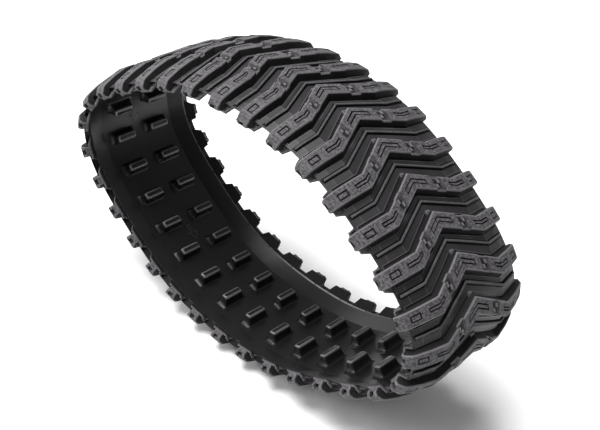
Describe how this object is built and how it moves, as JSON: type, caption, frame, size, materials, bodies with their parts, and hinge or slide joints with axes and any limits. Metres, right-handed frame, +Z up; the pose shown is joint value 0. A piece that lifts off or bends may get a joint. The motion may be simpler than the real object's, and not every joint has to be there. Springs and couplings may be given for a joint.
{
  "type": "rubber track",
  "caption": "Endless moulded rubber track: a thin flexible belt with chevron tread bars outside, turned-in shoulders with edge lugs, and two rows of drive lugs inside.",
  "frame": {"origin": "bottom centre of the loop's box, on the ground under the bottom pitch", "axes": "+X the long way of the loop, which the chevrons on the ground point along; +Y across the belt; +Z up"},
  "size_m": [0.1918, 0.0614, 0.1159],
  "materials": {
    "tread_rubber": "matte, fine spark-eroded grain, slightly greyed on the raised faces",
    "belt_rubber": "smooth satin, near black"
  },
  "bodies": {
    "ground": {"carcass_ground": "belt_rubber", "tread_ground": "tread_rubber"},
    "pitch_10": {"carcass_10": "belt_rubber", "tread_10": "tread_rubber"},
    "pitch_11": {"carcass_11": "belt_rubber", "tread_11": "tread_rubber"},
    "pitch_12": {"carcass_12": "belt_rubber", "tread_12": "tread_rubber"},
    "pitch_13": {"carcass_13": "belt_rubber", "tread_13": "tread_rubber"},
    "pitch_14": {"carcass_14": "belt_rubber", "tread_14": "tread_rubber"},
    "pitch_15": {"carcass_15": "belt_rubber", "tread_15": "tread_rubber"},
    "pitch_16": {"carcass_16": "belt_rubber", "tread_16": "tread_rubber"},
    "pitch_17": {"carcass_17": "belt_rubber", "tread_17": "tread_rubber"},
    "pitch_18": {"carcass_18": "belt_rubber", "tread_18": "tread_rubber"},
    "pitch_19": {"carcass_19": "belt_rubber", "tread_19": "tread_rubber"},
    "pitch_20": {"carcass_20": "belt_rubber", "tread_20": "tread_rubber"},
    "pitch_21": {"carcass_21": "belt_rubber", "tread_21": "tread_rubber"},
    "pitch_22": {"carcass_22": "belt_rubber", "tread_22": "tread_rubber"},
    "pitch_23": {"carcass_23": "belt_rubber", "tread_23": "tread_rubber"},
    "pitch_06": {"carcass_06": "belt_rubber", "tread_06": "tread_rubber"},
    "pitch_05": {"carcass_05": "belt_rubber", "tread_05": "tread_rubber"},
    "pitch_04": {"carcass_04": "belt_rubber", "tread_04": "tread_rubber"},
    "pitch_03": {"carcass_03": "belt_rubber", "tread_03": "tread_rubber"},
    "pitch_02": {"carcass_02": "belt_rubber", "tread_02": "tread_rubber"},
    "pitch_01": {"carcass_01": "belt_rubber", "tread_01": "tread_rubber"},
    "pitch_00": {"carcass_00": "belt_rubber", "tread_00": "tread_rubber"},
    "pitch_30": {"carcass_30": "belt_rubber", "tread_30": "tread_rubber"},
    "pitch_29": {"carcass_29": "belt_rubber", "tread_29": "tread_rubber"},
    "pitch_28": {"carcass_28": "belt_rubber", "tread_28": "tread_rubber"},
    "pitch_27": {"carcass_27": "belt_rubber", "tread_27": "tread_rubber"},
    "pitch_26": {"carcass_26": "belt_rubber", "tread_26": "tread_rubber"},
    "pitch_25": {"carcass_25": "belt_rubber", "tread_25": "tread_rubber"},
    "pitch_24": {"carcass_24": "belt_rubber", "tread_24": "tread_rubber"}
  },
  "joints": [
    {"name": "flex_10", "type": "hinge", "parent": "ground", "child": "pitch_10", "pos_m": [0.01973, 0, 0.0058], "axis": [0, -1, 0], "range_deg": [-0.67, 3.92], "stiffness_Nm_per_rad": 0.94, "springref_deg": 1.01},
    {"name": "flex_11", "type": "hinge", "parent": "pitch_10", "child": "pitch_11", "pos_m": [0.03396, 0, 0.00949], "axis": [0, -1, 0], "range_deg": [-1.25, 7.4], "stiffness_Nm_per_rad": 0.8, "springref_deg": 0.77},
    {"name": "flex_12", "type": "hinge", "parent": "pitch_11", "child": "pitch_12", "pos_m": [0.04744, 0, 0.01535], "axis": [0, -1, 0], "range_deg": [-1.69, 10.01], "stiffness_Nm_per_rad": 0.68, "springref_deg": 0.46},
    {"name": "flex_13", "type": "hinge", "parent": "pitch_12", "child": "pitch_13", "pos_m": [0.06042, 0, 0.02223], "axis": [0, -1, 0], "range_deg": [-1.3, 7.67], "stiffness_Nm_per_rad": 0.59, "springref_deg": 0.08},
    {"name": "flex_14", "type": "hinge", "parent": "pitch_13", "child": "pitch_14", "pos_m": [0.07318, 0, 0.02952], "axis": [0, -1, 0], "range_deg": [-0.762, 0.144], "stiffness_Nm_per_rad": 0.53, "springref_deg": -0.36},
    {"name": "flex_15", "type": "hinge", "parent": "pitch_14", "child": "pitch_15", "pos_m": [0.08469, 0, 0.03867], "axis": [0, -1, 0], "range_deg": [-11.53, 1.94], "stiffness_Nm_per_rad": 0.49, "springref_deg": -0.79},
    {"name": "flex_16", "type": "hinge", "parent": "pitch_15", "child": "pitch_16", "pos_m": [0.09162, 0, 0.05162], "axis": [0, -1, 0], "range_deg": [-18, 3], "stiffness_Nm_per_rad": 0.43, "springref_deg": -1.15},
    {"name": "flex_17", "type": "hinge", "parent": "pitch_16", "child": "pitch_17", "pos_m": [0.09027, 0, 0.06626], "axis": [0, -1, 0], "range_deg": [-15.85, 2.66], "stiffness_Nm_per_rad": 0.39, "springref_deg": -1.24},
    {"name": "flex_18", "type": "hinge", "parent": "pitch_17", "child": "pitch_18", "pos_m": [0.08184, 0, 0.07829], "axis": [0, -1, 0], "range_deg": [-6.73, 1.14], "stiffness_Nm_per_rad": 0.32, "springref_deg": -1.23},
    {"name": "flex_19", "type": "hinge", "parent": "pitch_18", "child": "pitch_19", "pos_m": [0.0704, 0, 0.08751], "axis": [0, -1, 0], "range_deg": [-0.54, 3.15], "stiffness_Nm_per_rad": 0.23, "springref_deg": -1.24},
    {"name": "flex_20", "type": "hinge", "parent": "pitch_19", "child": "pitch_20", "pos_m": [0.05819, 0, 0.09569], "axis": [0, -1, 0], "range_deg": [-1.39, 8.22], "stiffness_Nm_per_rad": 0.16, "springref_deg": -1.19},
    {"name": "flex_21", "type": "hinge", "parent": "pitch_20", "child": "pitch_21", "pos_m": [0.04544, 0, 0.103], "axis": [0, -1, 0], "range_deg": [-1.28, 7.57], "stiffness_Nm_per_rad": 0.09, "springref_deg": -1.25},
    {"name": "flex_22", "type": "hinge", "parent": "pitch_21", "child": "pitch_22", "pos_m": [0.03172, 0, 0.10827], "axis": [0, -1, 0], "range_deg": [-0.69, 4.05], "stiffness_Nm_per_rad": 0.042, "springref_deg": -1.25},
    {"name": "flex_23", "type": "hinge", "parent": "pitch_22", "child": "pitch_23", "pos_m": [0.01726, 0, 0.11092], "axis": [0, -1, 0], "range_deg": [-0.18, 0.99], "stiffness_Nm_per_rad": 0.012, "springref_deg": -1.16},
    {"name": "flex_06", "type": "hinge", "parent": "ground", "child": "pitch_06", "pos_m": [-0.02419, 0, 0.00585], "axis": [0, 1, 0], "range_deg": [-0.44, 2.53], "stiffness_Nm_per_rad": 0.92, "springref_deg": 0.82},
    {"name": "flex_05", "type": "hinge", "parent": "pitch_06", "child": "pitch_05", "pos_m": [-0.03835, 0, 0.0098], "axis": [0, 1, 0], "range_deg": [-1, 5.93], "stiffness_Nm_per_rad": 0.79, "springref_deg": 0.53},
    {"name": "flex_04", "type": "hinge", "parent": "pitch_05", "child": "pitch_04", "pos_m": [-0.05156, 0, 0.01624], "axis": [0, 1, 0], "range_deg": [-1.43, 8.48], "stiffness_Nm_per_rad": 0.68, "springref_deg": 0.2},
    {"name": "flex_03", "type": "hinge", "parent": "pitch_04", "child": "pitch_03", "pos_m": [-0.06399, 0, 0.02408], "axis": [0, 1, 0], "range_deg": [-1.09, 6.46], "stiffness_Nm_per_rad": 0.59, "springref_deg": -0.18},
    {"name": "flex_02", "type": "hinge", "parent": "pitch_03", "child": "pitch_02", "pos_m": [-0.07594, 0, 0.03263], "axis": [0, 1, 0], "range_deg": [-1.47, 0.26], "stiffness_Nm_per_rad": 0.53, "springref_deg": -0.61},
    {"name": "flex_01", "type": "hinge", "parent": "pitch_02", "child": "pitch_01", "pos_m": [-0.08632, 0, 0.04303], "axis": [0, 1, 0], "range_deg": [-11.82, 1.99], "stiffness_Nm_per_rad": 0.48, "springref_deg": -1.02},
    {"name": "flex_00", "type": "hinge", "parent": "pitch_01", "child": "pitch_00", "pos_m": [-0.0917, 0, 0.05671], "axis": [0, 1, 0], "range_deg": [-18.06, 3.03], "stiffness_Nm_per_rad": 0.46, "springref_deg": -1.23},
    {"name": "flex_30", "type": "hinge", "parent": "pitch_00", "child": "pitch_30", "pos_m": [-0.08866, 0, 0.07109], "axis": [0, 1, 0], "range_deg": [-15.71, 2.63], "stiffness_Nm_per_rad": 0.42, "springref_deg": -1.24},
    {"name": "flex_29", "type": "hinge", "parent": "pitch_30", "child": "pitch_29", "pos_m": [-0.07889, 0, 0.08206], "axis": [0, 1, 0], "range_deg": [-6.25, 1.06], "stiffness_Nm_per_rad": 0.33, "springref_deg": -1.24},
    {"name": "flex_28", "type": "hinge", "parent": "pitch_29", "child": "pitch_28", "pos_m": [-0.0665, 0, 0.08997], "axis": [0, 1, 0], "range_deg": [-0.7, 4.12], "stiffness_Nm_per_rad": 0.24, "springref_deg": -1.21},
    {"name": "flex_27", "type": "hinge", "parent": "pitch_28", "child": "pitch_27", "pos_m": [-0.0536, 0, 0.09701], "axis": [0, 1, 0], "range_deg": [-1.62, 9.63], "stiffness_Nm_per_rad": 0.16, "springref_deg": -1.17},
    {"name": "flex_26", "type": "hinge", "parent": "pitch_27", "child": "pitch_26", "pos_m": [-0.04044, 0, 0.10355], "axis": [0, 1, 0], "range_deg": [-1.54, 9.12], "stiffness_Nm_per_rad": 0.087, "springref_deg": -1.24},
    {"name": "flex_25", "type": "hinge", "parent": "pitch_26", "child": "pitch_25", "pos_m": [-0.02657, 0, 0.10842], "axis": [0, 1, 0], "range_deg": [-0.91, 5.34], "stiffness_Nm_per_rad": 0.039, "springref_deg": -1.24},
    {"name": "flex_24", "type": "hinge", "parent": "pitch_25", "child": "pitch_24", "pos_m": [-0.0121, 0, 0.11094], "axis": [0, 1, 0], "range_deg": [-0.3, 1.71], "stiffness_Nm_per_rad": 0.0093, "springref_deg": -1.25}
  ],
  "couplings": [
    {"joint": "flex_10", "follows": "flex_16", "ratio": -0.21666},
    {"joint": "flex_11", "follows": "flex_16", "ratio": -0.40981},
    {"joint": "flex_12", "follows": "flex_16", "ratio": -0.555},
    {"joint": "flex_13", "follows": "flex_16", "ratio": -0.42521},
    {"joint": "flex_14", "follows": "flex_16", "ratio": 0.041235},
    {"joint": "flex_15", "follows": "flex_16", "ratio": 0.63968},
    {"joint": "flex_17", "follows": "flex_16", "ratio": 0.87936},
    {"joint": "flex_18", "follows": "flex_16", "ratio": 0.37254},
    {"joint": "flex_19", "follows": "flex_16", "ratio": -0.17396},
    {"joint": "flex_20", "follows": "flex_16", "ratio": -0.45535},
    {"joint": "flex_21", "follows": "flex_16", "ratio": -0.41918},
    {"joint": "flex_22", "follows": "flex_16", "ratio": -0.22397},
    {"joint": "flex_23", "follows": "flex_16", "ratio": -0.054074},
    {"joint": "flex_06", "follows": "flex_16", "ratio": -0.13938},
    {"joint": "flex_05", "follows": "flex_16", "ratio": -0.32845},
    {"joint": "flex_04", "follows": "flex_16", "ratio": -0.46996},
    {"joint": "flex_03", "follows": "flex_16", "ratio": -0.35774},
    {"joint": "flex_02", "follows": "flex_16", "ratio": 0.08064},
    {"joint": "flex_01", "follows": "flex_16", "ratio": 0.65538},
    {"joint": "flex_00", "follows": "flex_16", "ratio": 1.0024},
    {"joint": "flex_30", "follows": "flex_16", "ratio": 0.87142},
    {"joint": "flex_29", "follows": "flex_16", "ratio": 0.34624},
    {"joint": "flex_28", "follows": "flex_16", "ratio": -0.22772},
    {"joint": "flex_27", "follows": "flex_16", "ratio": -0.53383},
    {"joint": "flex_26", "follows": "flex_16", "ratio": -0.50528},
    {"joint": "flex_25", "follows": "flex_16", "ratio": -0.29531},
    {"joint": "flex_24", "follows": "flex_16", "ratio": -0.093678}
  ]
}
